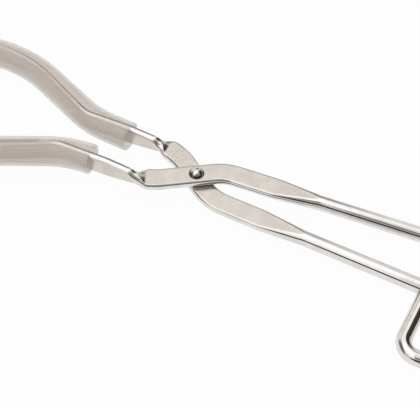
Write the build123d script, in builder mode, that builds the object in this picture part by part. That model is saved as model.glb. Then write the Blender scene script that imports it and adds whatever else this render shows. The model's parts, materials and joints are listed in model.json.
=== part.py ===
from build123d import *
import os
from math import cos, radians, sin, tan

# Beaker tongs: two identical arms of round bar, crossed and riveted, with a tube sleeve on each jaw.
# Millimetres and degrees. +X points to the finger loops, +Z is square to the tongs, and the origin
# is at the bottom centre of the whole. Each arm is drawn flat, on a deck whose own origin is the
# rivet's axis in the middle of the arm's thickness. The bottom arm is the top one turned over.

# Bar and its pressed stretch
rod_d = 5.0
flat_w = 7.8
flat_t = 2.7

# Pressed S across the rivet
slant = 32.0
slant_front = 11.45
slant_back = 5.4
shoulder_r = 16.0
splay = 2.7
flat_tail = 13.7

# Run-out from the flat to the round bar
flare_len = 15.6
facet_len = 15.0

# Finger loop, from the rivet's axis
loop_back_x = 127.5
loop_front_x = 80.9
loop_root_x = 82.6
loop_out_y = 32.6
loop_back_r = 10.0
loop_front_r = 5.0
loop_end_gap = 0.3

# Quarter twist that sets the strip on edge: a sharp fold, then a slow ease to upright
throat_r = 19.0
neck_turn = 12.5
fold_len = 6.3
fold_turn = 75.0
fold_steps = 6
ease_len = 9.2
ease_steps = 2

# Jaw
kink_x = 47.2
kink_angle = 26.0
kink_r = 10.0
outward_run = 20.8
bow_r = 52.0
tip_turn = 42.0
tip_run = 3.0

# Rivet
shank_d = 3.0
shank_play = 0.05
head_d = 5.2
head_h = 1.7
tail_d = 5.0
tail_h = 1.0
arm_gap = 0.1

# Tube sleeves, round and loose, which take the kink more gently than the strip inside them
sleeve_wall = 0.9
sleeve_play = 0.3
sleeve_lean = 4.0
sleeve_ease = 2.0
sleeve_lead = 2.5
sleeve_kink_r = 38.0
sleeve_bow_out = 1.5
sleeve_overhang = 2.0
top_sleeve_x = 35.0
bottom_sleeve_x = 29.2

# Worked out from the sizes above
strip_y = slant_front * sin(radians(slant)) + throat_r * (1 - cos(radians(slant)))
throat_x = slant_front * cos(radians(slant)) + throat_r * sin(radians(slant))
throat_len = throat_r * radians(slant - neck_turn)
twist_len = fold_len + ease_len
kink_tangent = kink_r * tan(radians(kink_angle / 2))
sleeve_bend = kink_angle - sleeve_ease - sleeve_lean
sleeve_tangent = sleeve_kink_r * tan(radians(sleeve_bend / 2))
sleeve_run = kink_tangent + outward_run + sleeve_lead * cos(radians(kink_angle)) - sleeve_tangent
bore_r = flat_w / 2 + sleeve_play
sleeve_r = bore_r + sleeve_wall
arm_rise = (arm_gap + flat_t) / 2
pivot_z = sleeve_r + arm_rise


def strip_line(deck, start_x):
    """Centreline of a jaw's strip, from start_x in front of the rivet to its tip."""
    with BuildLine(deck) as line:
        straight = Line((-start_x, -strip_y), (kink_tangent - kink_x, -strip_y))
        kink = JernArc(straight @ 1, straight % 1, kink_r, kink_angle)
        outward = Line(kink @ 1, kink @ 1 + kink % 1 * outward_run)
        bow = JernArc(outward @ 1, outward % 1, bow_r, -kink_angle - tip_turn)
        Line(bow @ 1, bow @ 1 + bow % 1 * tip_run)
    return line.line


def sleeve_line(deck, start_x):
    """Centreline of a sleeve, from its cut end start_x in front of the rivet to past the jaw's tip."""
    bend_x = kink_x - sleeve_lead
    with BuildLine(deck) as line:
        rise = (bend_x - start_x) * tan(radians(sleeve_lean))
        mouth = (-start_x, rise - strip_y)
        reach = (bend_x - start_x) / cos(radians(sleeve_lean)) - sleeve_tangent
        straight = PolarLine(mouth, reach, 180 + sleeve_lean)
        bend = JernArc(straight @ 1, straight % 1, sleeve_kink_r, sleeve_bend)
        outward = Line(bend @ 1, bend @ 1 + bend % 1 * sleeve_run)
        bow = JernArc(outward @ 1, outward % 1, bow_r + sleeve_bow_out, sleeve_ease - kink_angle - tip_turn)
        Line(bow @ 1, bow @ 1 + bow % 1 * (tip_run + sleeve_overhang))
    return line.line


# The rivet stands where it puts the origin in the middle of the length over all
jaw_reach = sleeve_r * sin(radians(tip_turn)) - (sleeve_line(Plane.XY, top_sleeve_x) @ 1).X
pivot_x = (jaw_reach - loop_back_x - rod_d / 2) / 2
top_deck = Plane((pivot_x, 0, pivot_z + arm_rise), x_dir=(1, 0, 0), z_dir=(0, 0, 1))
bottom_deck = Plane((pivot_x, 0, pivot_z - arm_rise), x_dir=(1, 0, 0), z_dir=(0, 0, -1))


def cross_plane(deck, path, at, turn=0.0):
    """Plane square to a path, its x axis turned from flat on the deck towards the deck's normal."""
    ahead = path % at
    lateral = deck.z_dir.cross(ahead)
    width_dir = lateral * cos(radians(turn)) + deck.z_dir * sin(radians(turn))
    return Plane(path @ at, x_dir=width_dir, z_dir=ahead)


def pressed_section():
    """Outline of the pressed bar: bulging sides with a flat above and below."""
    Ellipse(flat_w / 2, rod_d / 2)
    Rectangle(flat_w, flat_t, mode=Mode.INTERSECT)


def make_arm(deck):
    """One arm in one piece: jaw strip, quarter twist, pressed flat, run-out, handle and loop."""
    with BuildLine(deck) as flat_line:
        start = (-slant_front * cos(radians(slant)), -slant_front * sin(radians(slant)))
        end = (slant_back * cos(radians(slant)), slant_back * sin(radians(slant)))
        across = Line(start, end)
        shoulder = JernArc(across @ 1, across % 1, shoulder_r, splay - slant)
        Line(shoulder @ 1, shoulder @ 1 + shoulder % 1 * flat_tail)
    flat_path = flat_line.line

    with BuildLine(deck) as neck_line:
        JernArc(flat_path @ 0, flat_path % 0 * -1, throat_r, -neck_turn)
    neck_path = neck_line.line

    with BuildLine(deck) as twist_line:
        throat = JernArc(neck_path @ 1, neck_path % 1, throat_r, neck_turn - slant)
        Line(throat @ 1, throat @ 1 + throat % 1 * (twist_len - throat_len))
    twist_path = twist_line.line

    with BuildLine(deck) as flare_line:
        Line(flat_path @ 1, flat_path @ 1 + flat_path % 1 * flare_len)
    flare_path = flare_line.line

    with BuildLine(deck) as handle_line:
        root = deck.to_local_coords(flare_path @ 1)
        back_y = root.Y + (loop_back_x - root.X) * tan(radians(splay))
        root_y = root.Y + (loop_root_x - root.X) * tan(radians(splay)) + rod_d / 2 + loop_end_gap
        FilletPolyline(
            (root.X, root.Y),
            (loop_back_x, back_y),
            (loop_back_x, loop_out_y),
            (loop_front_x, loop_out_y),
            (loop_root_x, root_y),
            radius=[loop_back_r, loop_back_r, loop_front_r],
        )
    handle_path = handle_line.line

    with BuildPart() as arm:
        # Pressed flat, with the rivet's hole
        with BuildSketch(cross_plane(deck, flat_path, 0)):
            pressed_section()
        sweep(path=flat_path)
        with BuildSketch(deck):
            Circle(shank_d / 2 + shank_play)
        extrude(amount=flat_t, both=True, mode=Mode.SUBTRACT)

        # Run-out: the sides draw in to the bar while two facets run up to a point on it
        with BuildSketch(cross_plane(deck, flare_path, 0)):
            Ellipse(flat_w / 2, rod_d / 2)
        with BuildSketch(cross_plane(deck, flare_path, 1)):
            Circle(rod_d / 2)
        loft()
        side = Plane(flare_path @ 0, x_dir=flare_path % 0, z_dir=deck.z_dir.cross(flare_path % 0) * -1)
        with BuildSketch(side) as facets:
            with BuildLine():
                Polyline(
                    (0, flat_t / 2),
                    (facet_len, rod_d / 2),
                    (facet_len, rod_d),
                    (0, rod_d),
                    close=True,
                )
            make_face()
            mirror(about=Plane.XZ)
        extrude(amount=flat_w, both=True, mode=Mode.SUBTRACT)

        # Handle and finger loop
        with BuildSketch(cross_plane(deck, handle_path, 0)):
            Circle(rod_d / 2)
        sweep(path=handle_path)

        # Neck, still flat, then the quarter twist
        with BuildSketch(cross_plane(deck, neck_path, 0)):
            pressed_section()
        sweep(path=neck_path)
        for step in range(fold_steps + 1):
            done = step / fold_steps
            turn = fold_turn * done * done * (3 - 2 * done)
            with BuildSketch(cross_plane(deck, twist_path, done * fold_len / twist_len, turn)):
                pressed_section()
        loft()
        for step in range(ease_steps + 1):
            done = step / ease_steps
            turn = fold_turn + (90 - fold_turn) * done
            with BuildSketch(cross_plane(deck, twist_path, (fold_len + done * ease_len) / twist_len, turn)):
                pressed_section()
        loft()

        # Jaw strip, on edge
        strip_path = strip_line(deck, throat_x + twist_len - throat_len)
        with BuildSketch(cross_plane(deck, strip_path, 0, 90)):
            pressed_section()
        sweep(path=strip_path)
    return arm.part


def make_sleeve(deck, start_x):
    """Round tube over a jaw, open at both ends, cut start_x in front of the rivet."""
    sleeve_path = sleeve_line(deck, start_x)
    with BuildPart() as sleeve:
        with BuildSketch(cross_plane(deck, sleeve_path, 0)):
            Circle(sleeve_r)
            Circle(bore_r, mode=Mode.SUBTRACT)
        sweep(path=sleeve_path)
    return sleeve.part


os.makedirs("parts", exist_ok=True)

top_arm = make_arm(top_deck)
top_arm.label = "top_arm"
export_step(top_arm, "parts/top_arm.step")

bottom_arm = make_arm(bottom_deck)
bottom_arm.label = "bottom_arm"
export_step(bottom_arm, "parts/bottom_arm.step")

top_sleeve = make_sleeve(top_deck, top_sleeve_x)
top_sleeve.label = "top_sleeve"
export_step(top_sleeve, "parts/top_sleeve.step")

bottom_sleeve = make_sleeve(bottom_deck, bottom_sleeve_x)
bottom_sleeve.label = "bottom_sleeve"
export_step(bottom_sleeve, "parts/bottom_sleeve.step")

# Rivet: domed head above, shank through both arms, tail spread below
half_grip = flat_t + arm_gap / 2
with BuildPart() as pivot_rivet:
    with BuildSketch(Plane((pivot_x, 0, pivot_z), x_dir=(1, 0, 0), z_dir=(0, -1, 0))):
        with BuildLine():
            TangentArc((0, half_grip + head_h), (head_d / 2, half_grip), tangent=(1, 0))
            Polyline(
                (head_d / 2, half_grip),
                (shank_d / 2, half_grip),
                (shank_d / 2, -half_grip),
                (tail_d / 2, -half_grip),
            )
            TangentArc((0, -half_grip - tail_h), (tail_d / 2, -half_grip), tangent=(1, 0))
            Line((0, -half_grip - tail_h), (0, half_grip + head_h))
        make_face()
    revolve(axis=Axis((pivot_x, 0, pivot_z), (0, 0, 1)))
pivot_rivet.part.label = "pivot_rivet"
export_step(pivot_rivet.part, "parts/pivot_rivet.step")
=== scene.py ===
import json
import logging
import math
from dataclasses import dataclass, replace
from enum import Enum

import bpy
from mathutils import Matrix, Vector
from mathutils.kdtree import KDTree


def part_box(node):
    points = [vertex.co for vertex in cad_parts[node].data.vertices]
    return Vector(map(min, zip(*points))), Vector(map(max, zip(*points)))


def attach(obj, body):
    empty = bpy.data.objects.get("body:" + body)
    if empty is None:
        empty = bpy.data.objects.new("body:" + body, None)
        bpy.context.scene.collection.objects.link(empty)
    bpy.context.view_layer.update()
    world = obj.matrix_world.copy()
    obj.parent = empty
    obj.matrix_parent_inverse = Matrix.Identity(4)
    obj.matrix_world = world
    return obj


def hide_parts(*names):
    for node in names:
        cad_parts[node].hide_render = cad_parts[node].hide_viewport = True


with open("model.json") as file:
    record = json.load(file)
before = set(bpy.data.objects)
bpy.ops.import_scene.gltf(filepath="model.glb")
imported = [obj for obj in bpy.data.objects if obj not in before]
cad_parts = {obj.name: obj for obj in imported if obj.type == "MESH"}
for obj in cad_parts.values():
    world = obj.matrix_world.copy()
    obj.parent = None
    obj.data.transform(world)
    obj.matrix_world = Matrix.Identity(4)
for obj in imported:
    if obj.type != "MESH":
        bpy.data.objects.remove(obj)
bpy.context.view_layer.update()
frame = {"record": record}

log = logging.getLogger("beaker_tongs")
MM = 0.001
PIVOT = Vector(frame["record"]["behaviour"]["joints"][0]["pos_m"])

# Names that a mesh and its material share
BAR_UV = "bar"
FLAT_MASK = "pressed"
TOUCH_MASK = "touch"

WHITE = (1.0, 1.0, 1.0, 1.0)
EVEN = (1.0, 1.0, 1.0)
# Where nearly all values of a noise lie
NOISE_SPAN = (0.3, 0.7)
Socket = bpy.types.NodeSocket
Value = Socket | float | tuple[float, ...]
Colour = tuple[float, float, float, float]


def part_of(distance: float, length: float) -> float:
    """Share of a length that a distance covers, from 0 to 1."""
    return min(max(distance / length, 0.0), 1.0)


def add_object(name: str, data: bpy.types.ID) -> bpy.types.Object:
    """Makes an object at the origin and puts it in the scene.

    Args:
        name: its name.
        data: its mesh, curve, lamp or camera.

    Returns:
        The object.
    """
    obj = bpy.data.objects.new(name, data)
    bpy.context.scene.collection.objects.link(obj)
    return obj


class Half(Enum):
    """The two halves of the tongs, each with its body, its arm's node and its sleeve's node."""

    UPPER = ("upper_half", "top_arm", "top_sleeve")
    LOWER = ("lower_half", "bottom_arm", "bottom_sleeve")

    def __init__(self, body: str, arm_node: str, sleeve_node: str) -> None:
        """Names one half's body and nodes.

        Args:
            body: the moving body that the half's pieces ride on.
            arm_node: the solid that is its arm.
            sleeve_node: the solid that is its sleeve.
        """
        self.body = body
        self.arm_node = arm_node
        self.sleeve_node = sleeve_node

    def deck(self) -> Matrix:
        """Places a half's own flat frame in the shared one; the lower half is turned over.

        Returns:
            The matrix from the deck to the shared frame.
        """
        low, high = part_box(self.arm_node)
        place = Matrix.Translation((PIVOT.x, PIVOT.y, (low.z + high.z) / 2))
        return place if self is Half.UPPER else place @ Matrix.Rotation(math.pi, 4, "X")


@dataclass(frozen=True)
class Run:
    """One move of a route: a straight run, or an arc if radius is set.

    Args:
        length: length of a straight run.
        radius: radius of an arc.
        turn: degrees that an arc turns, positive to the left.
    """

    length: float = 0.0
    radius: float = 0.0
    turn: float = 0.0

    @property
    def reach(self) -> float:
        """Length of the move along the route."""
        return abs(math.radians(self.turn)) * self.radius if self.radius else self.length


@dataclass(frozen=True)
class Route:
    """A flat route of straight runs and tangent arcs, read by its length.

    Args:
        start: first point, on the deck.
        heading: direction at the start, in degrees.
        runs: the moves, in order.
    """

    start: Vector
    heading: float
    runs: list[Run]

    @property
    def length(self) -> float:
        """Length of the whole route."""
        return sum(run.reach for run in self.runs)

    def at(self, distance: float) -> tuple[Vector, float]:
        """Point and heading at a distance along the route.

        Args:
            distance: how far along the route, cut to its ends.

        Returns:
            The point on the deck and the heading in radians.
        """
        place = self.start.copy()
        angle = math.radians(self.heading)
        left = min(max(distance, 0.0), self.length)
        for run in self.runs:
            part = min(left, run.reach)
            if run.radius:
                side = math.copysign(1.0, run.turn)
                swing = side * part / run.radius
                centre = place + Vector((-math.sin(angle), math.cos(angle))) * side * run.radius
                spoke = place - centre
                spoke.rotate(Matrix.Rotation(swing, 2))
                place = centre + spoke
                angle += swing
            else:
                place = place + Vector((math.cos(angle), math.sin(angle))) * part
            left -= part
            if left <= 0:
                break
        return place, angle


def corner_runs(corners: list[Vector], radii: list[float]) -> list[Run]:
    """Moves that follow a line of corners, each rounded by its radius.

    Args:
        corners: the first point, the corners and the last point.
        radii: one radius for each corner between the ends.

    Returns:
        Straight runs with an arc between each two.
    """
    runs = []
    trimmed = 0.0
    for i, radius in enumerate(radii):
        before = corners[i + 1] - corners[i]
        after = corners[i + 2] - corners[i + 1]
        turn = math.atan2(before.x * after.y - before.y * after.x, before.dot(after))
        tangent = radius * math.tan(abs(turn) / 2)
        runs.append(Run(length=before.length - trimmed - tangent))
        runs.append(Run(radius=radius, turn=math.degrees(turn)))
        trimmed = tangent
    runs.append(Run(length=(corners[-1] - corners[-2]).length - trimmed))
    return runs


@dataclass(frozen=True)
class BarSizes:
    """Sizes of one arm. All but the quarter twist's and the early bend's are the solids' own."""

    # Bar and its pressed stretch across the rivet
    rod_d: float = 5.0 * MM
    flat_w: float = 7.8 * MM
    flat_t: float = 2.7 * MM
    slant: float = 32.0
    slant_front: float = 11.45 * MM
    slant_back: float = 5.4 * MM
    shoulder_r: float = 16.0 * MM
    splay: float = 2.7
    flat_tail: float = 13.7 * MM

    # Run-out from the flat to the round bar
    flare_len: float = 15.6 * MM
    facet_len: float = 15.0 * MM

    # Finger loop
    loop_back_x: float = 127.5 * MM
    loop_front_x: float = 80.9 * MM
    loop_root_x: float = 82.6 * MM
    loop_out_y: float = 32.6 * MM
    loop_back_r: float = 10.0 * MM
    loop_front_r: float = 5.0 * MM
    loop_end_gap: float = 0.3 * MM

    # Quarter twist in the throat, as in the photograph: a little later and shorter than in the solids
    throat_r: float = 19.0 * MM
    neck_turn: float = 15.2
    fold_len: float = 5.5 * MM
    fold_turn: float = 75.0
    ease_len: float = 9.2 * MM

    # Jaw's strip
    kink_x: float = 47.2 * MM
    kink_angle: float = 26.0
    kink_r: float = 10.0 * MM
    outward_run: float = 20.8 * MM
    bow_r: float = 52.0 * MM
    tip_turn: float = 42.0
    tip_run: float = 3.0 * MM

    # Steeper bend before the throat, where an arm has one
    early_turn: float = 0.0
    early_r: float = 24.0 * MM
    early_run: float = 2.0 * MM

    @classmethod
    def of(cls, half: Half) -> "BarSizes":
        """Sizes of one half's arm; the lower one's throat is bent a little rounder by hand."""
        return cls(early_turn=8.5) if half is Half.LOWER else cls()

    @property
    def strip_y(self) -> float:
        """How far the straight strip lies from the tongs' middle line."""
        slant = math.radians(self.slant)
        return self.slant_front * math.sin(slant) + self.throat_r * (1 - math.cos(slant))

    @property
    def kink_tangent(self) -> float:
        """Distance from the corner of the kink to either end of its arc."""
        return self.kink_r * math.tan(math.radians(self.kink_angle / 2))

    def front(self) -> Route:
        """Follows the bar from the rivet to the tip of the jaw's strip.

        Returns:
            The route on the deck.
        """
        steep = self.slant + self.early_turn
        low, high = math.radians(self.slant), math.radians(steep)
        lead = [Run(length=self.slant_front)]
        reach = Vector((math.cos(low), math.sin(low))) * self.slant_front
        if self.early_turn:
            lead = [Run(radius=self.early_r, turn=self.early_turn), Run(length=self.early_run)]
            reach = Vector((math.sin(high) - math.sin(low), math.cos(low) - math.cos(high))) * self.early_r
            reach += Vector((math.cos(high), math.sin(high))) * self.early_run
        radius = (self.strip_y - reach.y) / (1 - math.cos(high))
        runs = lead + [
            Run(radius=radius, turn=-steep),
            Run(length=self.kink_x - self.kink_tangent - reach.x - radius * math.sin(high)),
            Run(radius=self.kink_r, turn=self.kink_angle),
            Run(length=self.outward_run),
            Run(radius=self.bow_r, turn=-self.kink_angle - self.tip_turn),
            Run(length=self.tip_run),
        ]
        return Route(Vector((0, 0)), 180 + self.slant, runs)

    def back(self) -> Route:
        """Follows the bar from the rivet along the handle and round the finger loop.

        Returns:
            The route on the deck.
        """
        shoulder = Route(
            Vector((0, 0)),
            self.slant,
            [Run(length=self.slant_back), Run(radius=self.shoulder_r, turn=self.splay - self.slant)],
        )
        root, _ = shoulder.at(shoulder.length)
        rise = math.tan(math.radians(self.splay))
        end_y = root.y + (self.loop_root_x - root.x) * rise + self.rod_d / 2 + self.loop_end_gap
        corners = [
            root,
            Vector((self.loop_back_x, root.y + (self.loop_back_x - root.x) * rise)),
            Vector((self.loop_back_x, self.loop_out_y)),
            Vector((self.loop_front_x, self.loop_out_y)),
            Vector((self.loop_root_x, end_y)),
        ]
        radii = [self.loop_back_r, self.loop_back_r, self.loop_front_r]
        return Route(shoulder.start, self.slant, shoulder.runs + corner_runs(corners, radii))


@dataclass(frozen=True)
class Cross:
    """The bar's cross-section at one place.

    Args:
        half_w: half its width.
        half_h: half the height of the oval that its sides belong to.
        clip: half its thickness between the pressed flats.
        turn: degrees that it has twisted, 90 on edge.
    """

    half_w: float
    half_h: float
    clip: float
    turn: float


@dataclass(frozen=True)
class Station:
    """Place of one ring of an arm's skin.

    Args:
        point: middle of the ring, on the deck.
        heading: direction towards the finger loop's end, in radians.
        cross: the bar's cross-section there.
        distance: distance along the bar from the rivet, below 0 on the jaw's side.
        inset: how far the ring is drawn in, for the rounding of a cut end.
    """

    point: Vector
    heading: float
    cross: Cross
    distance: float
    inset: float = 0.0


@dataclass(frozen=True)
class Ring:
    """One ring of an arm's skin.

    Args:
        points: the points in order round the bar, in the shared frame.
        girths: distance of each point round the ring, and last the whole way round.
        masks: how much each point belongs to a pressed flat, from 0 to 1.
        distance: distance along the bar from the rivet.
    """

    points: list[Vector]
    girths: list[float]
    masks: list[float]
    distance: float


@dataclass(frozen=True)
class Arm:
    """One arm, swept as a single skin from the jaw's tip to the end of the finger loop.

    Args:
        half: the half it belongs to.
        sizes: its sizes.
        straight_step: longest step between rings on straight runs.
        bend_step: longest step between rings in bends.
        edge_soft: width of the soft edge where a flat meets a side.
        edge_spread: how much wider the soft edge is on the side than on the flat.
        edge_share: the most of a side or a flat that a soft edge takes.
        edge_points: points on a soft edge.
        side_points: points on half a rounded side.
        flat_points: points on half a flat.
        most_round: share of its height that a round section keeps, so that all rings have the same points.
        still_round: share above which a section counts as round bar, with no flat.
        end_round: radius of the rounding at a cut end.
        end_rings: rings in that rounding.
        fold_narrow: how much narrower half the bar is in the middle of the fold.
        fold_fat: how much thicker half the bar is there.
    """

    half: Half
    sizes: BarSizes
    straight_step: float = 1.2 * MM
    bend_step: float = 0.6 * MM
    edge_soft: float = 0.35 * MM
    edge_spread: float = 1.6
    edge_share: float = 0.45
    edge_points: int = 4
    side_points: int = 9
    flat_points: int = 9
    most_round: float = 0.995
    still_round: float = 0.985
    end_round: float = 0.35 * MM
    end_rings: int = 3
    fold_narrow: float = 0.8 * MM
    fold_fat: float = 0.6 * MM

    def front_cross(self, distance: float) -> Cross:
        """Cross-section on the jaw's side of the rivet: pressed, folded over, then on edge.

        Args:
            distance: distance along the bar from the rivet.

        Returns:
            The cross-section there.
        """
        z = self.sizes
        fold_start = z.slant_front + math.radians(z.neck_turn) * z.throat_r
        fold = part_of(distance - fold_start, z.fold_len)
        ease = part_of(distance - fold_start - z.fold_len, z.ease_len)
        turn = z.fold_turn * fold * fold * (3 - 2 * fold) + (90 - z.fold_turn) * ease
        bare = math.sin(math.pi * fold)
        return Cross(
            half_w=z.flat_w / 2 - self.fold_narrow * bare,
            half_h=z.rod_d / 2,
            clip=z.flat_t / 2 + self.fold_fat * bare,
            turn=turn,
        )

    def back_cross(self, distance: float) -> Cross:
        """Cross-section on the handle's side of the rivet: pressed, then running out to the round bar.

        Args:
            distance: distance along the bar from the rivet.

        Returns:
            The cross-section there.
        """
        z = self.sizes
        flat_len = z.slant_back + math.radians(z.slant - z.splay) * z.shoulder_r + z.flat_tail
        flare = part_of(distance - flat_len, z.flare_len)
        facet = part_of(distance - flat_len, z.facet_len)
        radius = z.rod_d / 2
        return Cross(
            half_w=z.flat_w / 2 + (radius - z.flat_w / 2) * flare,
            half_h=radius,
            clip=z.flat_t / 2 + (radius - z.flat_t / 2) * facet,
            turn=0.0,
        )

    def marks(self, route: Route) -> list[float]:
        """Distances of the rings along a route: close in bends, wider on straight runs.

        Args:
            route: the route.

        Returns:
            The distances, the first 0.
        """
        marks = [0.0]
        done = 0.0
        for run in route.runs:
            step = self.bend_step if run.radius else self.straight_step
            count = max(1, math.ceil(run.reach / step))
            marks += [done + run.reach * (i + 1) / count for i in range(count)]
            done += run.reach
        return marks

    def stations(self) -> list[Station]:
        """Places the rings, close in bends and wider on straight runs.

        Returns:
            Their places, from the jaw's tip to the loop's end.
        """
        front, back = self.sizes.front(), self.sizes.back()
        places = []
        for distance in reversed(self.marks(front)):
            point, angle = front.at(distance)
            places.append(Station(point, angle + math.pi, self.front_cross(distance), -distance))
        for distance in self.marks(back)[1:]:
            point, angle = back.at(distance)
            places.append(Station(point, angle, self.back_cross(distance), distance))
        tip, end = places[0], places[-1]
        return self.rounding(tip, -1.0)[::-1] + places[1:-1] + self.rounding(end, 1.0)

    def rounding(self, end: Station, side: float) -> list[Station]:
        """Rings of the rounded edge at a cut end, the last at the end's face.

        Args:
            end: the place of the end's face.
            side: which way the face looks along the bar, 1 or -1.

        Returns:
            The places that stand in for it.
        """
        along = Vector((math.cos(end.heading), math.sin(end.heading)))
        places = []
        for step in range(self.end_rings):
            angle = math.pi / 2 * step / (self.end_rings - 1)
            push = (math.sin(angle) - 1) * self.end_round * side
            inset = (1 - math.cos(angle)) * self.end_round
            point = end.point + along * push
            places.append(replace(end, point=point, distance=end.distance + push, inset=inset))
        return places

    def outline(self, cross: Cross) -> list[tuple[float, float, float]]:
        """Points round one cross-section, counter-clockwise seen from the handle's end.

        Args:
            cross: the section.

        Returns:
            For each point its width, its height and how much it belongs to a pressed flat.
        """
        ratio = min(cross.clip / cross.half_h, self.most_round)
        pressed = 1.0 if ratio < self.still_round else 0.0
        corner = math.asin(ratio)
        flat_half = cross.half_w * math.cos(corner)
        soft_angle = min(self.edge_soft / cross.half_w * self.edge_spread, corner * self.edge_share)
        soft_flat = min(self.edge_soft, flat_half * self.edge_share)

        def height(x: float) -> float:
            """Height of the upper surface over a place on the width."""
            bow = cross.half_h * math.sqrt(max(0.0, 1 - (x / cross.half_w) ** 2))
            return min(cross.clip, bow)

        quarter = []
        for i in range(self.side_points):
            angle = (corner - soft_angle) * i / self.side_points
            quarter.append((cross.half_w * math.cos(angle), cross.half_h * math.sin(angle), 0.0))
        side_x = cross.half_w * math.cos(corner - soft_angle)
        flat_x = flat_half - soft_flat
        first, middle, last = (Vector((x, height(x))) for x in (side_x, flat_half, flat_x))
        for i in range(self.edge_points):
            t = i / self.edge_points
            point = first * (1 - t) ** 2 + middle * 2 * t * (1 - t) + last * t * t
            quarter.append((point.x, point.y, t * t * pressed))
        for i in range(self.flat_points + 1):
            x = flat_x * (1 - i / self.flat_points)
            quarter.append((x, height(x), pressed))
        upper = quarter + [(-x, y, mask) for x, y, mask in reversed(quarter[1:-1])]
        upper.append((-cross.half_w, 0.0, 0.0))
        return upper + [(x, -y, mask) for x, y, mask in reversed(upper[1:-1])]

    def ring(self, station: Station, deck: Matrix) -> Ring:
        """Points of one ring.

        Args:
            station: its place.
            deck: matrix of the half's deck.

        Returns:
            The ring.
        """
        along = Vector((math.cos(station.heading), math.sin(station.heading), 0))
        across = Vector((-along.y, along.x, 0))
        up = Vector((0, 0, 1))
        turn = math.radians(station.cross.turn)
        wide = across * math.cos(turn) - up * math.sin(turn)
        thick = up * math.cos(turn) + across * math.sin(turn)
        outline = self.outline(station.cross)
        before = Vector(outline[0][:2])
        points, girths, walked = [], [], 0.0
        for x, y, _ in outline:
            spot = Vector((x, y))
            walked += (spot - before).length
            before = spot
            drawn_in = spot - spot.normalized() * station.inset
            points.append(deck @ (station.point.to_3d() + wide * drawn_in.x + thick * drawn_in.y))
            girths.append(walked)
        girths.append(walked + (points[-1] - points[0]).length)
        return Ring(points, girths, [mask for _, _, mask in outline], station.distance)

    def build(self, steel: bpy.types.Material) -> bpy.types.Object:
        """Joins the rings to a closed mesh, with length and girth as a UV map and the flats as a mask.

        Args:
            steel: its material.

        Returns:
            The arm as an object at the origin.
        """
        deck = self.half.deck()
        rings = [self.ring(station, deck) for station in self.stations()]
        count = len(rings[0].points)
        last = (len(rings) - 1) * count
        faces = []
        for start in range(0, last, count):
            for j in range(count):
                k = (j + 1) % count
                faces.append((start + j, start + count + j, start + count + k, start + k))
        faces.append(tuple(range(count)))
        faces.append(tuple(reversed(range(last, last + count))))
        mesh = bpy.data.meshes.new(self.half.arm_node + "_bar")
        mesh.from_pydata([tuple(point) for ring in rings for point in ring.points], [], faces)
        uv = mesh.uv_layers.new(name=BAR_UV)
        for face in mesh.polygons[:-2]:
            for corner, loop in enumerate(face.loop_indices):
                i, j = divmod(mesh.loops[loop].vertex_index, count)
                closes = corner >= 2 and j == 0
                uv.data[loop].uv = (rings[i].distance, rings[i].girths[-1 if closes else j])
        mask = mesh.attributes.new(FLAT_MASK, "FLOAT", "POINT")
        mask.data.foreach_set("value", [value for ring in rings for value in ring.masks])
        mesh.materials.append(steel)
        mesh.shade_smooth()
        return add_object(self.half.arm_node + "_bar", mesh)


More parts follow.
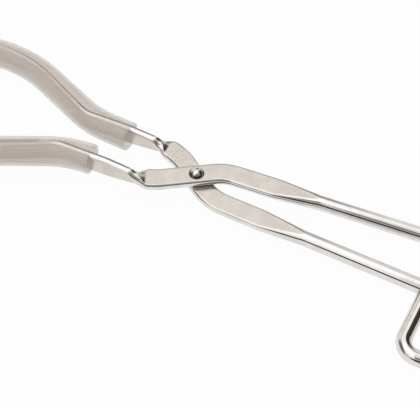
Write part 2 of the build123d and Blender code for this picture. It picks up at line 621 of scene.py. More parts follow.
class Nodes:
    """Short hand for building a node tree."""

    def __init__(self, tree: bpy.types.NodeTree) -> None:
        """Keeps the tree and empties it.

        Args:
            tree: the tree to build in.
        """
        self.tree = tree
        tree.nodes.clear()

    def add(
        self,
        kind: str,
        inputs: dict[int | str, Value] | None = None,
        **settings: bpy.types.ID | str,
    ) -> bpy.types.Node:
        """Adds a node.

        Args:
            kind: the node's type.
            inputs: values or sockets for its inputs, by name or number.
            settings: values of the node's own settings.

        Returns:
            The new node.
        """
        node = self.tree.nodes.new(kind)
        for name, value in settings.items():
            setattr(node, name, value)
        for name, value in (inputs or {}).items():
            if isinstance(value, Socket):
                self.tree.links.new(value, node.inputs[name])
            else:
                node.inputs[name].default_value = value
        return node

    def math(self, operation: str, first: Value, second: Value = 0.0, third: Value = 0.0) -> Socket:
        """Adds a Math node.

        Args:
            operation: what it works out.
            first: first value or socket.
            second: second value or socket.
            third: third value or socket.

        Returns:
            Its result.
        """
        kind = "ShaderNodeMath"
        return self.add(kind, {0: first, 1: second, 2: third}, operation=operation).outputs[0]

    def product(self, *factors: Value) -> Value:
        """Multiplies values or sockets.

        Args:
            factors: one or more of them.

        Returns:
            Their product.
        """
        made = factors[0]
        for factor in factors[1:]:
            made = self.math("MULTIPLY", made, factor)
        return made

    def highest(self, *values: Value) -> Value:
        """Takes the highest of some values or sockets.

        Args:
            values: one or more of them.

        Returns:
            The highest.
        """
        made = values[0]
        for value in values[1:]:
            made = self.math("MAXIMUM", made, value)
        return made

    def ramp(
        self, factor: Value, low: float, high: float, before: float = 0.0, after: float = 1.0
    ) -> Socket:
        """Adds a smooth step from one value to another.

        Args:
            factor: the socket that is stepped.
            low: where the step starts.
            high: where it ends.
            before: value below the step.
            after: value above it.

        Returns:
            Its result.
        """
        inputs = {"Value": factor, "From Min": low, "From Max": high, "To Min": before, "To Max": after}
        return self.add("ShaderNodeMapRange", inputs, interpolation_type="SMOOTHSTEP").outputs[0]

    def mix(self, factor: Value, first: Value, second: Value) -> Socket:
        """Adds a colour mix.

        Args:
            factor: value or socket that chooses the second colour.
            first: first colour or socket.
            second: second colour or socket.

        Returns:
            The mixed colour.
        """
        inputs = {0: factor, 6: first, 7: second}
        return self.add("ShaderNodeMix", inputs, data_type="RGBA").outputs[2]

    def vector(self, operation: str, first: Value, second: Value) -> bpy.types.Node:
        """Adds a Vector Math node.

        Args:
            operation: what it works out.
            first: first vector or socket.
            second: second vector or socket, or the scale for SCALE.

        Returns:
            The node.
        """
        place = "Scale" if operation == "SCALE" else 1
        return self.add("ShaderNodeVectorMath", {0: first, place: second}, operation=operation)

    def effect(self, group: bpy.types.NodeTree, inputs: dict[str, Value]) -> bpy.types.bpy_prop_collection:
        """Places a shared effect.

        Args:
            group: its node group.
            inputs: values or sockets for its inputs, by name.

        Returns:
            Its outputs.
        """
        return self.add("ShaderNodeGroup", inputs, node_tree=group).outputs

    def bump(self, height: Value, distance: float, strength: float) -> Socket:
        """Adds a bump.

        Args:
            height: the relief's height.
            distance: how deep the relief is.
            strength: how strongly it shows.

        Returns:
            The normal.
        """
        inputs = {"Height": height, "Distance": distance, "Strength": strength}
        return self.add("ShaderNodeBump", inputs).outputs[0]

    def principled(self, inputs: dict[str, Value]) -> None:
        """Ends a material's tree in its shader.

        Args:
            inputs: values or sockets for the shader's inputs, by name.
        """
        shader = self.add("ShaderNodeBsdfPrincipled", inputs)
        self.add("ShaderNodeOutputMaterial", {"Surface": shader.outputs[0]})


def new_material(name: str) -> tuple[bpy.types.Material, Nodes]:
    """Makes a material with an empty tree.

    Args:
        name: its name.

    Returns:
        The material and the short hand for its tree.
    """
    made = bpy.data.materials.new(name)
    made.use_nodes = True
    return made, Nodes(made.node_tree)


def new_tree(
    name: str,
    kind: str,
    inputs: dict[str, str],
    outputs: dict[str, str],
) -> tuple[bpy.types.NodeTree, Nodes, bpy.types.bpy_prop_collection]:
    """Makes a node group with named inputs and outputs.

    Args:
        name: its name.
        kind: whether it is a shader or a geometry tree.
        inputs: kind of socket of each input, by name.
        outputs: kind of socket of each output, by name.

    Returns:
        The group, the short hand for its tree and what its inputs are given.
    """
    tree = bpy.data.node_groups.new(name, kind)
    for side, sockets in (("INPUT", inputs), ("OUTPUT", outputs)):
        for socket, socket_kind in sockets.items():
            tree.interface.new_socket(socket, in_out=side, socket_type="NodeSocket" + socket_kind)
    n = Nodes(tree)
    return tree, n, n.add("NodeGroupInput").outputs


def grain_group() -> bpy.types.NodeTree:
    """Shared effect: uneven cloud and fine grain of handled metal or plastic.

    Returns:
        A group that puts out both from 0 to 1.
    """
    inputs = {"Position": "Vector", "Cloud Scale": "Float", "Fine Scale": "Float", "Stretch": "Vector"}
    outputs = {"Cloud": "Float", "Fine": "Float"}
    group, n, given = new_tree("surface_grain", "ShaderNodeTree", inputs, outputs)
    place = n.vector("MULTIPLY", given["Position"], given["Stretch"]).outputs[0]
    cloud = n.add("ShaderNodeTexNoise", {"Vector": place, "Scale": given["Cloud Scale"], "Detail": 3.0})
    fine = n.add("ShaderNodeTexNoise", {"Vector": place, "Scale": given["Fine Scale"], "Detail": 4.0})
    n.add("NodeGroupOutput", {"Cloud": cloud.outputs[0], "Fine": fine.outputs[0]})
    return group


def pits_group() -> bpy.types.NodeTree:
    """Shared effect: a few small round pits gathered round one place.

    Returns:
        A group that puts out their mask.
    """
    inputs = {
        "Position": "Vector", "Spacing Scale": "Float", "Size": "Float",
        "Middle": "Vector", "Reach": "Float",
    }
    group, n, given = new_tree("surface_pits", "ShaderNodeTree", inputs, {"Pits": "Float"})
    cells = n.add("ShaderNodeTexVoronoi", {"Vector": given["Position"], "Scale": given["Spacing Scale"]})
    near = n.math("SUBTRACT", 1.0, n.math("DIVIDE", cells.outputs["Distance"], given["Size"]))
    steep_wall = 3.0
    pit = n.math("MINIMUM", n.product(n.highest(near, 0.0), steep_wall), 1.0)
    away = n.vector("DISTANCE", given["Position"], given["Middle"]).outputs["Value"]
    patch = n.math("SUBTRACT", 1.0, n.math("DIVIDE", away, given["Reach"]))
    n.add("NodeGroupOutput", {"Pits": n.product(pit, n.ramp(patch, 0.0, 0.3))})
    return group


@dataclass(frozen=True)
class SteelFinish:
    """Finish of the arms: bright drawn bar with satin pressed flats, a few pits and painted shade along the
    flats' edges.

    Args:
        bright: colour of the polished bar.
        satin: colour of the pressed flats.
        edge: colour of the painted shade along the flats' edges.
        edge_shade_part: how much of that painted shade shows.
        pit: colour in the pits.
        pit_part: how much of that colour shows.
        pit_middle: middle of the patch of pits, on the lower arm's throat.
        pit_reach: radius of the patch.
        bright_rough: roughness of the polished bar.
        satin_rough: roughness of the flats.
        rough_wander: least and most that the grain adds to the roughness.
        cloud_dark: brightness of the darkest clouds.
        draw_stretch: how the grain is drawn out into lines along the bar.
        drawn: how much of the relief those lines are.
        pit_depth: how deep the pits are in the relief.
        relief: depth of the relief.
        relief_part: how strongly it shows.
    """

    bright: Colour = (0.77, 0.745, 0.72, 1.0)
    satin: Colour = (0.66, 0.615, 0.565, 1.0)
    # Painted shade along the flats' soft edges
    edge: Colour = (0.22, 0.19, 0.17, 1.0)
    edge_shade_part: float = 0.15
    pit: Colour = (0.25, 0.22, 0.20, 1.0)
    pit_part: float = 0.55
    pit_middle: tuple[float, float, float] = (-9.0 * MM, 6.5 * MM, 6.5 * MM)
    pit_reach: float = 4.5 * MM
    bright_rough: float = 0.08
    satin_rough: float = 0.24
    rough_wander: tuple[float, float] = (-0.02, 0.03)
    cloud_dark: float = 0.90
    draw_stretch: tuple[float, float, float] = (0.03, 1.0, 1.0)
    drawn: float = 0.8
    pit_depth: float = 3.0
    relief: float = 0.03 * MM
    relief_part: float = 0.10

    def material(self, grain: bpy.types.NodeTree, pits: bpy.types.NodeTree) -> bpy.types.Material:
        """Builds the material.

        Args:
            grain: the shared grain.
            pits: the shared pits.

        Returns:
            The material.
        """
        made, n = new_material("steel_bar")
        place = n.add("ShaderNodeTexCoord").outputs["Object"]
        along = n.add("ShaderNodeUVMap", uv_map=BAR_UV).outputs[0]
        flat = n.add("ShaderNodeAttribute", attribute_name=FLAT_MASK).outputs["Fac"]
        mottle = n.effect(grain, {
            "Position": place, "Cloud Scale": 260.0, "Fine Scale": 1500.0, "Stretch": EVEN,
        })
        lines = n.effect(grain, {
            "Position": along, "Cloud Scale": 400.0, "Fine Scale": 2600.0, "Stretch": self.draw_stretch,
        })
        spots = n.effect(pits, {
            "Position": place, "Spacing Scale": 1100.0, "Size": 0.30,
            "Middle": self.pit_middle, "Reach": self.pit_reach,
        })["Pits"]
        # Painted shade: a thin darker line where each pressed flat meets its rounded side
        edge = n.product(n.ramp(flat, 0.0, 0.12), n.ramp(flat, 0.35, 0.9, 1.0, 0.0), self.edge_shade_part)
        tone = n.mix(edge, n.mix(flat, self.bright, self.satin), self.edge)
        shade = n.vector("SCALE", tone, n.ramp(mottle["Cloud"], *NOISE_SPAN, self.cloud_dark, 1.0))
        colour = n.mix(n.product(spots, self.pit_part), shade.outputs[0], self.pit)
        even_rough = n.math("MULTIPLY_ADD", flat, self.satin_rough - self.bright_rough, self.bright_rough)
        rough = n.math("ADD", even_rough, n.ramp(mottle["Fine"], *NOISE_SPAN, *self.rough_wander))
        relief = n.math("MULTIPLY_ADD", lines["Fine"], self.drawn, mottle["Cloud"])
        height = n.math("SUBTRACT", relief, n.product(spots, self.pit_depth))
        n.principled({
            "Base Color": colour, "Metallic": 1.0, "Roughness": rough,
            "Normal": n.bump(height, self.relief, self.relief_part),
        })
        return made


@dataclass(frozen=True)
class RivetFinish:
    """Finish of the rivet: bright polished steel, with painted shade in a ring towards the rims of its head
    and tail, where they meet the arms.

    Args:
        colour: colour of the steel.
        ring_shade: colour of the painted shade.
        ring_shade_from: distance from the axis where the painted shade starts.
        ring_shade_to: distance where it is darkest.
        ring_shade_uneven: how much that distance wanders.
        rough: roughness of the smoothest parts.
        rough_more: how much rougher the roughest parts are.
        relief: depth of the uneven surface.
        relief_part: how strongly it shows.
    """

    colour: Colour = (0.70, 0.67, 0.64, 1.0)
    ring_shade: Colour = (0.16, 0.14, 0.125, 1.0)
    ring_shade_from: float = 1.7 * MM
    ring_shade_to: float = 2.4 * MM
    ring_shade_uneven: float = 0.4 * MM
    rough: float = 0.10
    rough_more: float = 0.08
    relief: float = 0.05 * MM
    relief_part: float = 0.3

    def material(self, grain: bpy.types.NodeTree) -> bpy.types.Material:
        """Builds the material.

        Args:
            grain: the shared grain.

        Returns:
            The material.
        """
        made, n = new_material("rivet_steel")
        place = n.add("ShaderNodeTexCoord").outputs["Object"]
        mottle = n.effect(grain, {
            "Position": place, "Cloud Scale": 500.0, "Fine Scale": 2200.0, "Stretch": EVEN,
        })
        # Painted shade: darker in a ring towards the rims of the head and tail, where they meet the arms
        level = n.vector("MULTIPLY", place, (1.0, 1.0, 0.0)).outputs[0]
        away = n.vector("DISTANCE", level, (PIVOT.x, PIVOT.y, 0.0)).outputs["Value"]
        wander = n.math("MULTIPLY_ADD", mottle["Cloud"], self.ring_shade_uneven, away)
        ring_shade_mask = n.ramp(wander, self.ring_shade_from, self.ring_shade_to)
        n.principled({
            "Base Color": n.mix(ring_shade_mask, self.colour, self.ring_shade),
            "Metallic": 1.0,
            "Roughness": n.ramp(mottle["Fine"], *NOISE_SPAN, self.rough, self.rough + self.rough_more),
            "Normal": n.bump(mottle["Cloud"], self.relief, self.relief_part),
        })
        return made


@dataclass(frozen=True)
class VinylFinish:
    """Finish of the sleeves: clouded see-through vinyl, warm grey, soft gloss, with painted shade along the
    tube's outline.

    Args:
        colour: colour of the clearer vinyl.
        cloudy: colour of its clouds.
        shade: colour where the strip inside shades the wall.
        shade_part: how much of that shade shows.
        silhouette_shade: colour of the painted shade where the wall is seen on edge, round the tube's
            outline.
        rough: roughness of the smoothest parts.
        rough_more: how much rougher the roughest parts are.
        thin: how solid the wall looks when faced.
        edge_on: how solid it looks from the side.
        contact: how much clearer the wall is where the strip touches it.
        index: index of refraction.
        relief: depth of the uneven surface.
        relief_part: how strongly it shows.
    """

    colour: Colour = (0.99, 0.91, 0.84, 1.0)
    cloudy: Colour = (0.955, 0.865, 0.79, 1.0)
    shade: Colour = (0.36, 0.31, 0.28, 1.0)
    shade_part: float = 0.7
    silhouette_shade: Colour = (0.55, 0.49, 0.45, 1.0)
    rough: float = 0.18
    rough_more: float = 0.10
    thin: float = 0.36
    edge_on: float = 0.62
    contact: float = 0.85
    index: float = 1.46
    relief: float = 0.03 * MM
    relief_part: float = 0.08

    def material(self, grain: bpy.types.NodeTree) -> bpy.types.Material:
        """Builds the material.

        Args:
            grain: the shared grain.

        Returns:
            The material.
        """
        made, n = new_material("sleeve_vinyl")
        place = n.add("ShaderNodeTexCoord").outputs["Object"]
        mottle = n.effect(grain, {
            "Position": place, "Cloud Scale": 60.0, "Fine Scale": 700.0, "Stretch": EVEN,
        })
        facing = n.add("ShaderNodeLayerWeight", {"Blend": 0.5}).outputs["Facing"]
        touch = n.add("ShaderNodeAttribute", attribute_name=TOUCH_MASK).outputs["Fac"]
        vinyl = n.mix(n.ramp(mottle["Cloud"], *NOISE_SPAN), self.cloudy, self.colour)
        shaded = n.mix(n.ramp(touch, -0.8, -0.1, self.shade_part, 0.0), vinyl, self.shade)
        solid = n.ramp(facing, 0.35, 0.95, self.thin, self.edge_on)
        wet = n.ramp(touch, 0.05, 0.8, 1.0, 1.0 - self.contact)
        n.principled({
            # Painted shade: darker where the wall is seen on edge, which draws a grey outline round the
            # tube
            "Base Color": n.mix(n.ramp(facing, 0.86, 0.98), shaded, self.silhouette_shade),
            "Roughness": n.ramp(mottle["Fine"], *NOISE_SPAN, self.rough, self.rough + self.rough_more),
            "IOR": self.index,
            "Alpha": n.product(solid, wet),
            "Normal": n.bump(mottle["Fine"], self.relief, self.relief_part),
        })
        return made


@dataclass(frozen=True)
class Sleeve:
    """One vinyl tube on a jaw, swept over the strip by a geometry tree and given its wall after.

    Args:
        half: the half it belongs to.
        sizes: sizes of the arm inside it.
        wall: thickness of its wall.
        play: room on either side of the strip.
        lean: degrees that its mouth leans out from the strip.
        ease: degrees that it runs inside the strip past the kink.
        lead: how far before the strip's kink its own bend has its corner.
        kink_r: radius of that bend.
        bow_out: how much larger the radius of its bow is than the strip's.
        overhang: how far it reaches past the strip's tip.
        wobble: how uneven its surface is.
        wave_scale: how close together the unevenness is.
        seed: seed of the unevenness.
        sides: points round it.
        step: longest step along it.
        rim_round: rounding of its rims.
        rim_angle: sharpest corner, in degrees, that is left unrounded.
        contact: width of the line where the strip touches the wall.
        fade: length over which that line changes past the kink.
        upper_past: the upper sleeve's line past the kink, below 0 for shade.
        lower_past: the lower sleeve's line past the kink, above 0 for clear.
        strip_points: points of the strip that the line is measured from.
    """

    half: Half
    sizes: BarSizes
    wall: float = 0.9 * MM
    play: float = 0.3 * MM
    lean: float = 4.0
    ease: float = 2.0
    lead: float = 2.5 * MM
    kink_r: float = 38.0 * MM
    bow_out: float = 1.5 * MM
    overhang: float = 2.0 * MM
    wobble: float = 0.12 * MM
    wave_scale: float = 60.0
    seed: int = 10
    sides: int = 64
    step: float = 0.8 * MM
    rim_round: float = 0.18 * MM
    rim_angle: float = 50.0
    contact: float = 1.3 * MM
    fade: float = 7.0 * MM
    upper_past: float = -1.0
    lower_past: float = 0.45
    strip_points: int = 500

    @property
    def radius(self) -> float:
        """Outer radius of the tube."""
        return self.sizes.flat_w / 2 + self.play + self.wall

    @property
    def start_x(self) -> float:
        """Where the middle of the sleeve's cut end stands in front of the rivet."""
        _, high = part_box(self.half.sleeve_node)
        return PIVOT.x - high.x + self.radius * math.sin(math.radians(self.lean))

    def route(self) -> Route:
        """Follows the tube's middle, which takes the kink more gently than the strip.

        Returns:
            The route on the deck.
        """
        z = self.sizes
        lean = math.radians(self.lean)
        bend = z.kink_angle - self.ease - self.lean
        tangent = self.kink_r * math.tan(math.radians(bend / 2))
        reach = z.kink_x - self.lead - self.start_x
        spare = self.lead * math.cos(math.radians(z.kink_angle)) - tangent
        runs = [
            Run(length=reach / math.cos(lean) - tangent),
            Run(radius=self.kink_r, turn=bend),
            Run(length=z.kink_tangent + z.outward_run + spare),
            Run(radius=z.bow_r + self.bow_out, turn=self.ease - z.kink_angle - z.tip_turn),
            Run(length=z.tip_run + self.overhang),
        ]
        return Route(Vector((-self.start_x, reach * math.tan(lean) - z.strip_y)), 180 + self.lean, runs)

    def centreline(self) -> bpy.types.Object:
        """Draws the route as a poly curve.

        Returns:
            The curve in the shared frame.
        """
        deck = self.half.deck()
        route = self.route()
        count = math.ceil(route.length / self.step)
        curve = bpy.data.curves.new(self.half.sleeve_node + "_line", "CURVE")
        curve.dimensions = "3D"
        spline = curve.splines.new("POLY")
        spline.points.add(count)
        for i, point in enumerate(spline.points):
            place, _ = route.at(route.length * i / count)
            point.co = (*(deck @ place.to_3d()), 1)
        return add_object(curve.name, curve)

    def sweep(self, tree: bpy.types.NodeTree, vinyl: bpy.types.Material) -> bpy.types.Mesh:
        """Runs the geometry tree on the centreline.

        Args:
            tree: the tree.
            vinyl: the tube's material.

        Returns:
            The tube's outer skin as a plain mesh.
        """
        values = {
            "Radius": self.radius,
            "Sides": self.sides,
            "Wobble": self.wobble,
            "Wave Scale": self.wave_scale,
            "Seed": self.seed,
            "Material": vinyl,
        }
        line = self.centreline()
        modifier = line.modifiers.new("tube", "NODES")
        modifier.node_group = tree
        for item in tree.interface.items_tree:
            if item.in_out == "INPUT" and item.name in values:
                modifier[item.identifier] = values[item.name]
        mesh = settled(line)
        line.modifiers.remove(modifier)
        bpy.data.objects.remove(line)
        return mesh

    def build(self, tree: bpy.types.NodeTree, vinyl: bpy.types.Material) -> bpy.types.Object:
        """Makes the tube.

        Args:
            tree: the geometry tree that sweeps it.
            vinyl: its material.

        Returns:
            The tube as a plain mesh at the origin.
        """
        tube = add_object(self.half.sleeve_node + "_tube", self.sweep(tree, vinyl))
        tube.data.shade_smooth()
        wall = tube.modifiers.new("wall", "SOLIDIFY")
        wall.thickness = self.wall
        wall.offset = -1.0
        wall.use_even_offset = True
        rims = tube.modifiers.new("rims", "BEVEL")
        rims.width = self.rim_round
        rims.segments = 2
        rims.limit_method = "ANGLE"
        rims.angle_limit = math.radians(self.rim_angle)
        mesh = settled(tube)
        tube.modifiers.clear()
        tube.data = mesh
        self.mark_contact(mesh)
        return tube

    def mark_contact(self, mesh: bpy.types.Mesh) -> None:
        """Marks where the strip's upper edge lies against the tube: above 0 clear, below 0 in shade.

        Args:
            mesh: the tube's mesh.
        """
        deck = self.half.deck()
        middle_z = deck.translation.z
        line = self.sizes.front()
        strip = KDTree(self.strip_points)
        for i in range(self.strip_points):
            place, _ = line.at(line.length * i / (self.strip_points - 1))
            strip.insert(deck @ place.to_3d(), i)
        strip.balance()
        past_value = self.upper_past if self.half is Half.UPPER else self.lower_past
        values = []
        for vertex in mesh.vertices:
            _, _, away = strip.find(Vector((vertex.co.x, vertex.co.y, middle_z)))
            past = part_of(PIVOT.x - vertex.co.x - self.sizes.kink_x, self.fade)
            close = max(0.0, 1.0 - away / self.contact) if vertex.co.z > middle_z else 0.0
            values.append(close * (1 + (past_value - 1) * past))
        mesh.attributes.new(TOUCH_MASK, "FLOAT", "POINT").data.foreach_set("value", values)


def settled(obj: bpy.types.Object) -> bpy.types.Mesh:
    """Plain mesh of an object with its modifiers applied."""
    graph = bpy.context.evaluated_depsgraph_get()
    return bpy.data.meshes.new_from_object(obj.evaluated_get(graph))


def tube_tree() -> bpy.types.NodeTree:
    """Sweeps the skin of a soft round tube along a curve.

    Returns:
        The geometry tree.
    """
    inputs = {
        "Geometry": "Geometry", "Radius": "Float", "Sides": "Int", "Wobble": "Float",
        "Wave Scale": "Float", "Seed": "Int", "Material": "Material",
    }
    tree, n, given = new_tree("soft_tube", "GeometryNodeTree", inputs, {"Geometry": "Geometry"})
    upright = n.add("GeometryNodeSetCurveNormal", {"Curve": given["Geometry"]}, mode="Z_UP")
    circle = {"Resolution": given["Sides"], "Radius": given["Radius"]}
    ring = n.add("GeometryNodeCurvePrimitiveCircle", circle, mode="RADIUS")
    skin = n.add("GeometryNodeCurveToMesh", {"Curve": upright.outputs[0], "Profile Curve": ring.outputs[0]})
    waves = {"Scale": given["Wave Scale"], "Detail": 1.0, "W": given["Seed"]}
    noise = n.add("ShaderNodeTexNoise", waves, noise_dimensions="4D")
    uneven = n.product(n.math("SUBTRACT", noise.outputs[0], 0.5), given["Wobble"])
    drift = n.vector("SCALE", n.add("GeometryNodeInputNormal").outputs[0], uneven)
    moved = n.add("GeometryNodeSetPosition", {"Geometry": skin.outputs[0], "Offset": drift.outputs[0]})
    real = n.add("GeometryNodeRealizeInstances", {"Geometry": moved.outputs[0]})
    dressed = n.add("GeometryNodeSetMaterial", {"Geometry": real.outputs[0], "Material": given["Material"]})
    n.add("NodeGroupOutput", {"Geometry": dressed.outputs[0]})
    return tree


@dataclass(frozen=True)
class Rivet:
    """The rivet: a domed head, a shank and a spread tail, turned round its axis.

    Args:
        head_d: diameter of its head.
        head_h: height of its head.
        shank_d: diameter of its shank.
        tail_d: diameter of its tail.
        tail_h: height of its tail.
        half_grip: half the thickness that it holds together.
        arc_points: steps from the top of a dome to its foot.
        segments: steps round it.
        crease: sharpest corner, in degrees, that is shaded smooth.
    """

    head_d: float = 5.2 * MM
    head_h: float = 1.7 * MM
    shank_d: float = 3.0 * MM
    tail_d: float = 5.0 * MM
    tail_h: float = 1.0 * MM
    half_grip: float = 2.75 * MM
    arc_points: int = 14
    segments: int = 64
    crease: float = 40.0

    def dome(self, radius: float, height: float) -> list[tuple[float, float]]:
        """Profile of a dome from its top to its foot.

        Args:
            radius: radius of its foot.
            height: its height.

        Returns:
            Radius and height of each point, the top first.
        """
        ball = (radius * radius + height * height) / (2 * height)
        reach = math.asin(min(1.0, radius / ball))
        points = []
        for i in range(self.arc_points + 1):
            angle = reach * i / self.arc_points
            points.append((ball * math.sin(angle), height - ball * (1 - math.cos(angle))))
        return points

    def profile(self) -> list[tuple[float, float]]:
        """Puts the rivet's outline together.

        Returns:
            Radius and height of each point, from the head's top to the tail's.
        """
        head = [(r, self.half_grip + h) for r, h in self.dome(self.head_d / 2, self.head_h)]
        shank = [(self.shank_d / 2, self.half_grip), (self.shank_d / 2, -self.half_grip)]
        tail = [(r, -self.half_grip - h) for r, h in reversed(self.dome(self.tail_d / 2, self.tail_h))]
        return head + shank + tail

    def build(self, steel: bpy.types.Material) -> bpy.types.Object:
        """Makes the rivet.

        Args:
            steel: its material.

        Returns:
            The rivet as an object at the origin.
        """
        profile = self.profile()
        rings = len(profile) - 2
        verts = [Vector((0, 0, profile[0][1]))]
        for radius, height in profile[1:-1]:
            for i in range(self.segments):
                angle = 2 * math.pi * i / self.segments
                verts.append(Vector((radius * math.cos(angle), radius * math.sin(angle), height)))
        verts.append(Vector((0, 0, profile[-1][1])))
        lowest = len(verts) - 1
        last_ring = lowest - self.segments
        faces = []
        for i in range(self.segments):
            j = (i + 1) % self.segments
            faces.append((0, 1 + i, 1 + j))
            for ring in range(rings - 1):
                a = 1 + ring * self.segments
                b = a + self.segments
                faces.append((a + i, b + i, b + j, a + j))
            faces.append((last_ring + i, lowest, last_ring + j))
        mesh = bpy.data.meshes.new("domed_rivet")
        mesh.from_pydata([tuple(vert + PIVOT) for vert in verts], [], faces)
        mesh.materials.append(steel)
        mesh.shade_smooth()
        mesh.set_sharp_from_angle(angle=math.radians(self.crease))
        return add_object("domed_rivet", mesh)


@dataclass(frozen=True)
class Step:
    """Smooth step of a mask along one axis of the direction that is looked in.

    Args:
        axis: x, y or z.
        low: where the step starts.
        high: where it ends.
        before: value below the step.
        after: value above it.
    """

    axis: str
    low: float
    high: float
    before: float = 0.0
    after: float = 1.0


def band(axis: str, low: float, high: float, soft: float) -> tuple[Step, Step]:
    """Steps of a mask that is 1 between two values and 0 outside them.

    Args:
        axis: x, y or z.
        low: where the band starts.
        high: where it ends.
        soft: half the width of its soft edges.

    Returns:
        The step up and the step down.
    """
    return Step(axis, low - soft, low + soft), Step(axis, high - soft, high + soft, 1.0, 0.0)


@dataclass(frozen=True)
class Gap:
    """Dark gap between the soft lights, which the bright bars mirror.

    Args:
        depth: how dark it is, from 0 to 1.
        steps: steps whose product is its mask.
    """

    depth: float
    steps: tuple[Step, ...]


# Directions in the studio: y is roughly away from the camera, x to its right and z up
NEAR_SIDE = Step("y", -0.10, 0.05, 1.0, 0.0)
GAPS = (
    # In front, at the right, far behind, at the left, and a thin line between the far lights
    Gap(1.0, (Step("x", -0.38, -0.16, 0.35), NEAR_SIDE, *band("z", 0.22, 0.54, 0.03))),
    Gap(1.0, (Step("x", 0.05, 0.25), Step("y", 0.0, 0.2), *band("z", 0.22, 0.87, 0.03))),
    Gap(0.75, (*band("x", -0.46, -0.12, 0.06), Step("y", 0.3, 0.5), *band("z", 0.0, 0.60, 0.04))),
    Gap(0.85, (
        Step("x", -0.75, -0.5, 1.0, 0.0),
        Step("y", -0.05, 0.3, 1.0, 0.0),
        *band("z", 0.12, 0.76, 0.05),
    )),
    Gap(0.6, (Step("y", 0.1, 0.2), *band("z", 0.60, 0.67, 0.02))),
)
CAMERA_CORNER = (Step("x", -0.11, -0.03), Step("y", 0.10, 0.28, 1.0, 0.0), Step("z", -0.02, 0.05))
CORNER_CORE = (NEAR_SIDE, *band("z", 0.72, 0.88, 0.06))
OVERHEAD = (Step("z", 0.66, 0.74),)
OVERHEAD_NEAR = (Step("z", 0.50, 0.56), NEAR_SIDE)


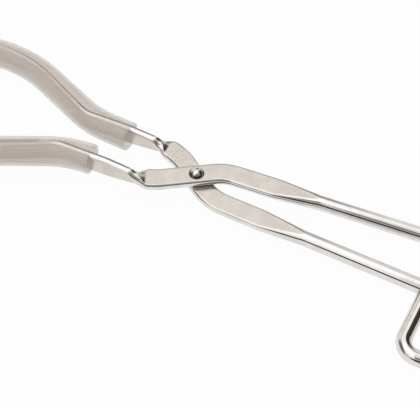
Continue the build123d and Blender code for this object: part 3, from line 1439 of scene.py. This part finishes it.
@dataclass(frozen=True)
class Studio:
    """Pale floor, soft light and the camera at the photograph's angle.

    Args:
        azimuth: degrees that the camera stands round the tongs.
        elevation: degrees that it stands above them.
        roll: degrees that it is tilted sideways.
        distance: its distance from the rivet, along its axis.
        focal_px: its focal length in pixels of the picture.
        width_px: width of the picture.
        height_px: height of the picture.
        pivot_px: place of the rivet in the picture.
        sensor: width of its sensor in millimetres.
        floor_half: half the floor's width.
        floor_white: how much of the floor's colour is plain white where it is seen or mirrored.
        gap_colour: colour of the dark gaps.
        light: brightness of the surroundings.
        light_over: how much brighter they are overhead.
        corner_dim: how much of the light the camera's corner takes away.
        core_dim: how much more its core takes away.
        lamp_size: length and width of the soft lamp.
        lamp_place: where it hangs.
        lamp_power: its power in watts.
    """

    azimuth: float = 24.48
    elevation: float = 53.66
    roll: float = 0.15
    distance: float = 316.4 * MM
    focal_px: float = 948.4
    width_px: float = 420.0
    height_px: float = 408.0
    pivot_px: tuple[float, float] = (196.67, 178.40)
    sensor: float = 36.0
    floor_half: float = 1.5
    floor_white: float = 0.96
    gap_colour: Colour = (0.06, 0.045, 0.035, 1.0)
    light: float = 0.94
    light_over: float = 0.24
    corner_dim: float = 0.55
    core_dim: float = 0.3
    lamp_size: tuple[float, float] = (0.7, 0.5)
    lamp_place: tuple[float, float, float] = (-0.1, -0.05, 0.8)
    lamp_power: float = 0.5

    def axes(self) -> tuple[Vector, Vector, Vector]:
        """Turns the camera by its angles.

        Returns:
            Its right, up and back directions.
        """
        a, e, t = (math.radians(v) for v in (self.azimuth, self.elevation, self.roll))
        right = Vector((math.cos(a), math.sin(a), 0))
        up = Vector((-math.sin(a) * math.sin(e), math.cos(a) * math.sin(e), math.cos(e)))
        back = Vector((math.sin(a) * math.cos(e), -math.cos(a) * math.cos(e), math.sin(e)))
        tilted_right = right * math.cos(t) + up * math.sin(t)
        tilted_up = up * math.cos(t) - right * math.sin(t)
        return tilted_right, tilted_up, back

    def camera(self) -> None:
        """Sets the camera so that the rivet falls on its place in the picture."""
        right, up, back = self.axes()
        scale = self.distance / self.focal_px
        offset_x = (self.pivot_px[0] - self.width_px / 2) * scale
        offset_y = (self.height_px / 2 - self.pivot_px[1]) * scale
        data = bpy.data.cameras.new("camera")
        data.lens = self.focal_px / self.width_px * self.sensor
        data.sensor_width = self.sensor
        data.clip_start = 0.01
        data.clip_end = 10.0
        cam = add_object("camera", data)
        turn = Matrix((right, up, back)).transposed().to_4x4()
        place = PIVOT + back * self.distance - right * offset_x - up * offset_y
        cam.matrix_world = Matrix.Translation(place) @ turn
        bpy.context.scene.camera = cam

    def floor(self) -> None:
        """Pale floor that the tongs lie on, plain white where it is seen or mirrored, with their shadow."""
        made, n = new_material("pale_floor")
        rays = n.add("ShaderNodeLightPath").outputs
        seen = n.highest(rays["Is Camera Ray"], rays["Is Glossy Ray"], rays["Is Transmission Ray"])
        lit = n.add("ShaderNodeBsdfDiffuse", {"Color": WHITE})
        white = n.add("ShaderNodeEmission", {"Color": WHITE, "Strength": 1.0})
        part = n.product(seen, self.floor_white)
        both = n.add("ShaderNodeMixShader", {0: part, 1: lit.outputs[0], 2: white.outputs[0]})
        n.add("ShaderNodeOutputMaterial", {"Surface": both.outputs[0]})
        size = self.floor_half
        corners = [(-size, -size, 0), (size, -size, 0), (size, size, 0), (-size, size, 0)]
        mesh = bpy.data.meshes.new("floor")
        mesh.from_pydata(corners, [], [(0, 1, 2, 3)])
        mesh.materials.append(made)
        add_object("floor", mesh)

    def world(self) -> None:
        """White surroundings, of which the bars mirror the dark gaps and the camera sees plain white."""
        world = bpy.data.worlds.new("studio")
        bpy.context.scene.world = world
        world.use_nodes = True
        n = Nodes(world.node_tree)
        toward = n.add("ShaderNodeTexCoord").outputs["Generated"]
        parts = dict(zip("xyz", n.add("ShaderNodeSeparateXYZ", {0: toward}).outputs))

        def mask(steps: tuple[Step, ...]) -> Value:
            """Product of some steps, as a socket."""
            return n.product(*(n.ramp(parts[s.axis], s.low, s.high, s.before, s.after) for s in steps))

        dark = n.highest(*(n.product(mask(gap.steps), gap.depth) for gap in GAPS))
        dim = n.math("MULTIPLY_ADD", mask(CORNER_CORE), self.core_dim, self.corner_dim)
        undimmed = n.math("SUBTRACT", 1.0, n.product(mask(CAMERA_CORNER), dim))
        over = n.highest(mask(OVERHEAD), mask(OVERHEAD_NEAR))
        strength = n.math("MULTIPLY_ADD", over, self.light_over, self.light)
        colour = n.mix(dark, WHITE, self.gap_colour)
        dimmed = n.product(strength, undimmed)
        light = n.add("ShaderNodeBackground", {"Color": colour, "Strength": dimmed})
        plain = n.add("ShaderNodeBackground", {"Color": WHITE, "Strength": 1.0})
        seen = n.add("ShaderNodeLightPath").outputs["Is Camera Ray"]
        both = n.add("ShaderNodeMixShader", {0: seen, 1: light.outputs[0], 2: plain.outputs[0]})
        n.add("ShaderNodeOutputWorld", {"Surface": both.outputs[0]})

    def lamp(self) -> None:
        """One broad soft lamp overhead."""
        data = bpy.data.lights.new("softbox", "AREA")
        data.shape = "RECTANGLE"
        data.size, data.size_y = self.lamp_size
        data.energy = self.lamp_power
        add_object("softbox", data).location = self.lamp_place

    def build(self) -> None:
        """Makes the camera, the floor and the light."""
        self.camera()
        self.floor()
        self.world()
        self.lamp()
        bpy.context.scene.view_settings.view_transform = "Standard"


def report(obj: bpy.types.Object) -> None:
    """Logs one finished piece."""
    log.info("%s: %d faces", obj.name, len(obj.data.polygons))


def main() -> None:
    """Builds the tongs' visible pieces, then the studio round them."""
    logging.basicConfig(level=logging.INFO, format="%(name)s %(message)s")
    grain, pits, tree = grain_group(), pits_group(), tube_tree()
    steel = SteelFinish().material(grain, pits)
    vinyl = VinylFinish().material(grain)
    for half in Half:
        sizes = BarSizes.of(half)
        arm = Arm(half, sizes).build(steel)
        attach(arm, half.body)
        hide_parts(half.arm_node)
        report(arm)
        tube = Sleeve(half, sizes).build(tree, vinyl)
        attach(tube, half.body)
        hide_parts(half.sleeve_node)
        report(tube)
    rivet = Rivet().build(RivetFinish().material(grain))
    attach(rivet, Half.LOWER.body)
    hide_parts("pivot_rivet")
    report(rivet)
    Studio().build()


if __name__ == "__main__":
    main()
